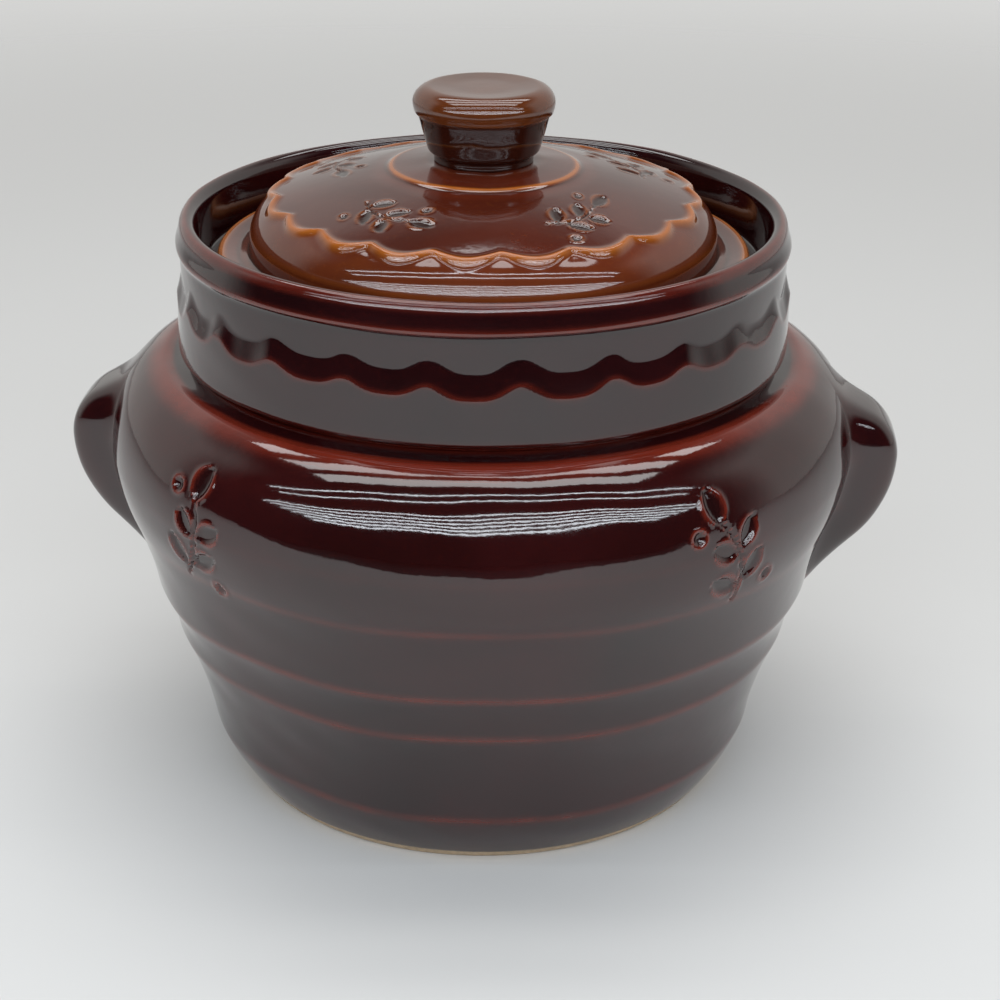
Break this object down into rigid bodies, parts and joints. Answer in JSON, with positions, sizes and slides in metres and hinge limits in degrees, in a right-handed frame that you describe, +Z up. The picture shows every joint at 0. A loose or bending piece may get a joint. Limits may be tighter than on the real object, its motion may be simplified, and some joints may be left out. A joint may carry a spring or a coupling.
{
  "type": "stoneware bean pot",
  "caption": "Round glazed stoneware bean pot with ear lugs, a scalloped neck band, throwing ribs and a loose domed lid with a flat-topped knob.",
  "frame": {"origin": "centre of the foot ring's plane, at the bottom of the pot", "axes": "+Z up along the pot's axis; the two ear lugs lie on +X and -X; the front faces -Y"},
  "size_m": [0.218, 0.1946, 0.184],
  "materials": {
    "oxblood_glaze": "gloss",
    "chestnut_glaze": "gloss",
    "amber_glaze": "gloss"
  },
  "bodies": {
    "crock": {"crock_body": "oxblood_glaze", "neck_collar": "oxblood_glaze", "right_ear": "oxblood_glaze", "left_ear": "oxblood_glaze"},
    "loose_lid": {"lid": "chestnut_glaze", "lid_knob": "amber_glaze"}
  },
  "joints": [
    {"name": "lid_lift", "type": "slide", "parent": "crock", "child": "loose_lid", "axis": [0, 0, 1], "range_m": [0, 0.08]}
  ]
}
